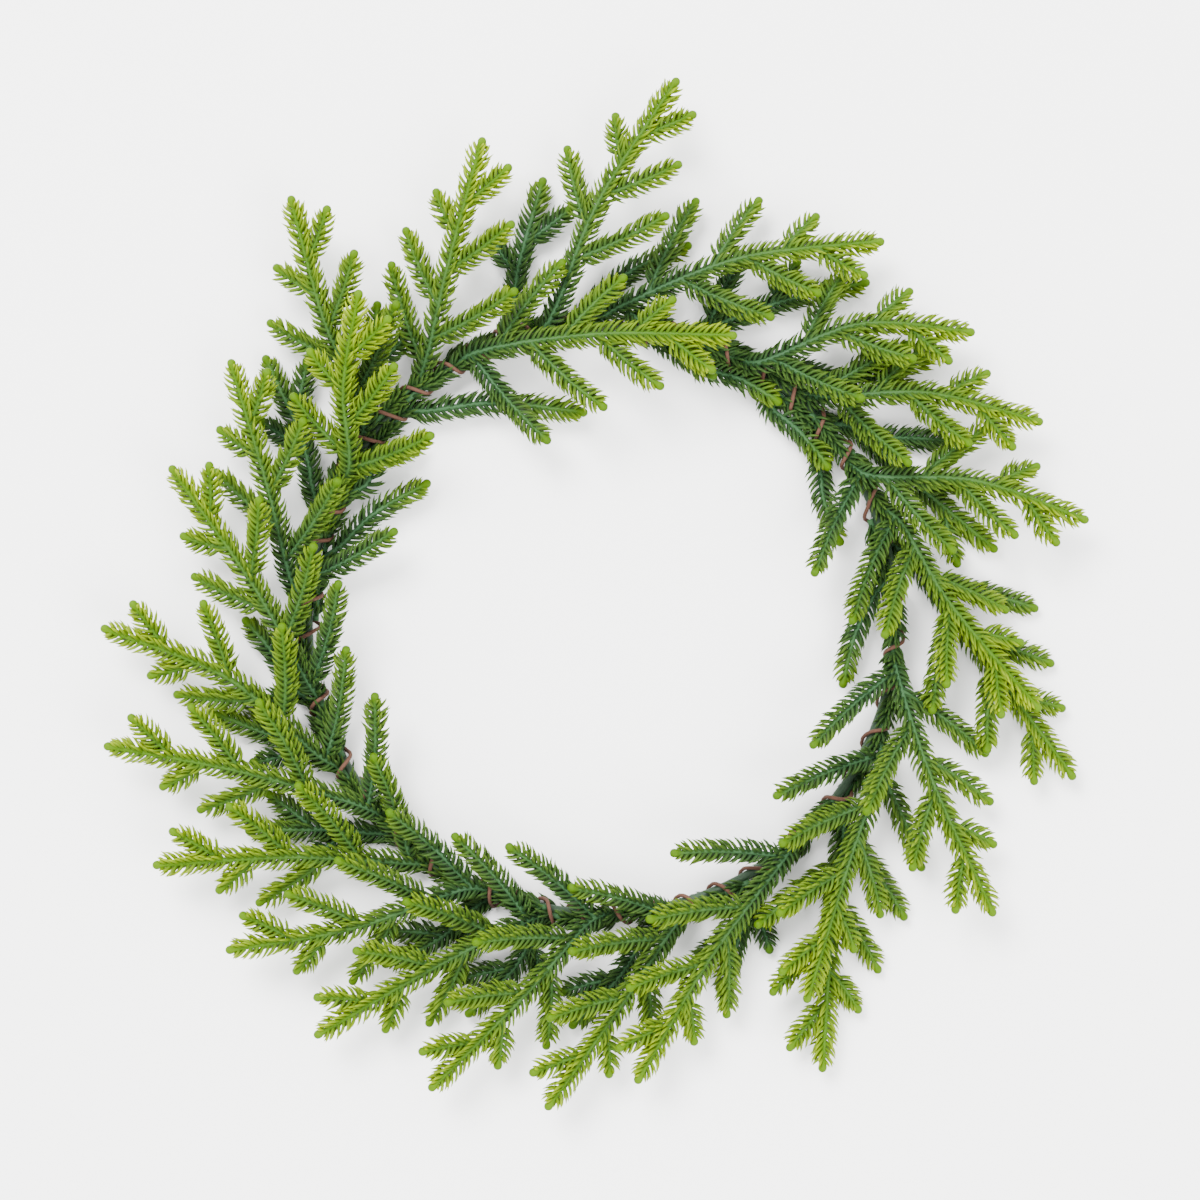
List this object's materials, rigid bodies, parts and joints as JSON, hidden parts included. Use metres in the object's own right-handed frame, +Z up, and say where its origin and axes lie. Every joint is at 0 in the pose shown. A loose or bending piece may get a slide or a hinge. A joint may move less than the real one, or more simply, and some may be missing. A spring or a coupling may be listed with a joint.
{
  "type": "fresh evergreen wreath",
  "caption": "Round evergreen wreath of feathery needle sprays, laid clockwise and bound to a wire hoop with paper-covered wire, open in the middle.",
  "frame": {"origin": "centre of the wreath's outline, on the surface it lies on", "axes": "+Z up out of the surface, towards the wreath's front; +Y to the top of the picture, the longer way across"},
  "size_m": [0.593, 0.619, 0.0639],
  "materials": {
    "foliage": "fresh green needles with a slight waxy sheen, yellow-green at the tips",
    "binding": "matt brown paper wound round fine wire",
    "hoop_wire": "dark green lacquer, satin"
  },
  "bodies": {
    "root": {"binding_wire": "binding", "inner_sprig_left_1": "foliage", "inner_sprig_left_2": "foliage", "inner_sprig_right_1": "foliage", "inner_sprig_right_2": "foliage", "inner_sprig_right_3": "foliage", "inner_sprig_right_4": "foliage", "inner_sprig_top": "foliage", "low_spray_bottom_1": "foliage", "low_spray_bottom_2": "foliage", "low_spray_bottom_3": "foliage", "low_spray_bottom_4": "foliage", "low_spray_bottom_right": "foliage", "low_spray_left_1": "foliage", "low_spray_left_2": "foliage", "low_spray_left_3": "foliage", "low_spray_left_4": "foliage", "low_spray_left_5": "foliage", "low_spray_right_1": "foliage", "low_spray_right_2": "foliage", "low_spray_right_3": "foliage", "low_spray_top_left": "foliage", "low_spray_top_right": "foliage", "low_sprig_top": "foliage", "spray_bottom_1": "foliage", "spray_bottom_2": "foliage", "spray_bottom_3": "foliage", "spray_bottom_4": "foliage", "spray_bottom_5": "foliage", "spray_bottom_6": "foliage", "spray_left_1": "foliage", "spray_left_2": "foliage", "spray_left_3": "foliage", "spray_left_4": "foliage", "spray_left_5": "foliage", "spray_right_1": "foliage", "spray_right_2": "foliage", "spray_right_3": "foliage", "spray_right_4": "foliage", "spray_right_5": "foliage", "spray_top_1": "foliage", "spray_top_2": "foliage", "spray_top_3": "foliage", "spray_top_4": "foliage", "top_spray_left": "foliage", "top_spray_top": "foliage", "wire_hoop": "hoop_wire"}
  },
  "joints": []
}
